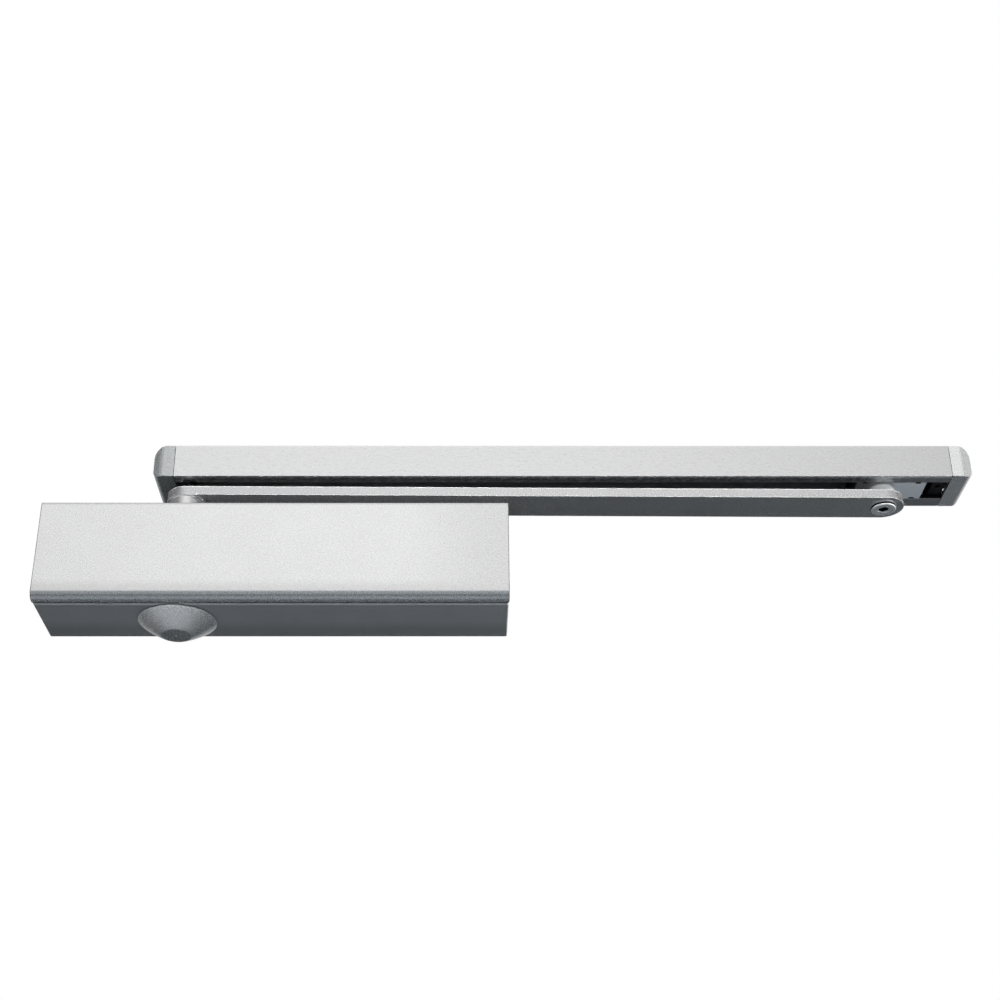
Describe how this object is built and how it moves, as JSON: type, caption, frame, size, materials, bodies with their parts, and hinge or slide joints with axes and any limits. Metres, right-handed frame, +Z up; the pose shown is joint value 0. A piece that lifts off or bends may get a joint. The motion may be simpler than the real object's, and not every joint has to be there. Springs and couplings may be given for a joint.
{
  "type": "door closer",
  "caption": "Overhead door closer: a long box body with a conical spindle cap below, a flat swinging arm above and a capped slide track that the arm's end runs in; it shuts a door by spring.",
  "frame": {"origin": "middle of the casting's back face, which lies on the door", "axes": "X along the door from the spindle end to the spring end, Y into the door and its frame, Z up"},
  "size_m": [0.5403, 0.0517, 0.1179],
  "materials": {
    "cover_silver": "fine-grained satin silver",
    "casting_silver": "satin silver-grey",
    "cap_grey": "satin silver-grey",
    "arm_silver": "satin silver",
    "bright_steel": "bright",
    "spring_steel": "dark, oiled",
    "slider_grey": "satin",
    "glide_plastic": "matt black",
    "track_silver": "satin anodised",
    "end_cap_silver": "satin silver",
    "bracket_metal": "matt black",
    "bearing_brass": "turned",
    "seal_rubber": "matt black"
  },
  "bodies": {
    "closer_body": {"body_casting": "casting_silver", "front_cover": "cover_silver", "piston_end_plug": "casting_silver", "spring_end_plug": "casting_silver", "plug_seals": "seal_rubber", "upper_bearing": "bearing_brass", "lower_bearing": "bearing_brass", "upper_gland": "bright_steel", "lower_gland": "bright_steel", "shaft_seals": "seal_rubber", "main_spring": "spring_steel"},
    "spindle_arm": {"spindle_pinion": "bright_steel", "arm_hub": "arm_silver", "arm_bar": "arm_silver", "arm_screw": "bright_steel", "spindle_cap": "cap_grey"},
    "piston": {"rack_piston": "bright_steel", "piston_ring": "glide_plastic", "check_valve_seat": "bright_steel", "check_valve_ball": "bright_steel"},
    "seat": {"spring_seat": "bright_steel"},
    "adjuster": {"force_adjuster": "bright_steel"},
    "closing_needle": {"closing_valve": "bright_steel"},
    "latching_needle": {"latching_valve": "bright_steel"},
    "slider": {"slider_block": "slider_grey", "pivot_screw": "bright_steel", "pivot_bush": "bright_steel", "slider_glides": "glide_plastic"},
    "track": {"track_channel": "track_silver", "left_end_cap": "end_cap_silver", "right_end_cap": "end_cap_silver", "left_track_bracket": "bracket_metal", "right_track_bracket": "bracket_metal", "bracket_screws": "bright_steel"}
  },
  "joints": [
    {"name": "arm_swing", "type": "hinge", "parent": "closer_body", "child": "spindle_arm", "pos_m": [-0.05522, -0.0226, 0.03], "axis": [0, 0, 1], "range_deg": [0, 150], "stiffness_Nm_per_rad": 5, "springref_deg": -114.59},
    {"name": "piston_slide", "type": "slide", "parent": "closer_body", "child": "piston", "axis": [1, 0, 0], "range_m": [0, 0.0236], "deforming": ["main_spring"]},
    {"name": "adjuster_turn", "type": "hinge", "parent": "closer_body", "child": "adjuster", "pos_m": [0.13113, -0.0226, 0], "axis": [1, 0, 0], "range_deg": [0, 2160]},
    {"name": "seat_slide", "type": "slide", "parent": "closer_body", "child": "seat", "axis": [-1, 0, 0], "range_m": [0, 0.0121], "deforming": ["main_spring"]},
    {"name": "closing_valve_turn", "type": "hinge", "parent": "closer_body", "child": "closing_needle", "pos_m": [-0.08222, -0.0455, 0.016], "axis": [0, -1, 0], "range_deg": [-360, 360]},
    {"name": "latching_valve_turn", "type": "hinge", "parent": "closer_body", "child": "latching_needle", "pos_m": [-0.08222, -0.0455, -0.016], "axis": [0, -1, 0], "range_deg": [-360, 360]},
    {"name": "slider_pivot", "type": "hinge", "parent": "spindle_arm", "child": "slider", "pos_m": [0.35651, -0.01883, 0.05155], "axis": [0, 0, 1], "range_deg": [-60, 60]},
    {"name": "track_slide", "type": "slide", "parent": "slider", "child": "track", "axis": [1, 0, 0], "range_m": [-0.0045, 0.394]}
  ],
  "couplings": [
    {"joint": "piston_slide", "follows": "arm_swing", "m_per_rad": 0.009},
    {"joint": "seat_slide", "follows": "adjuster_turn", "m_per_rad": 0.00031831}
  ]
}
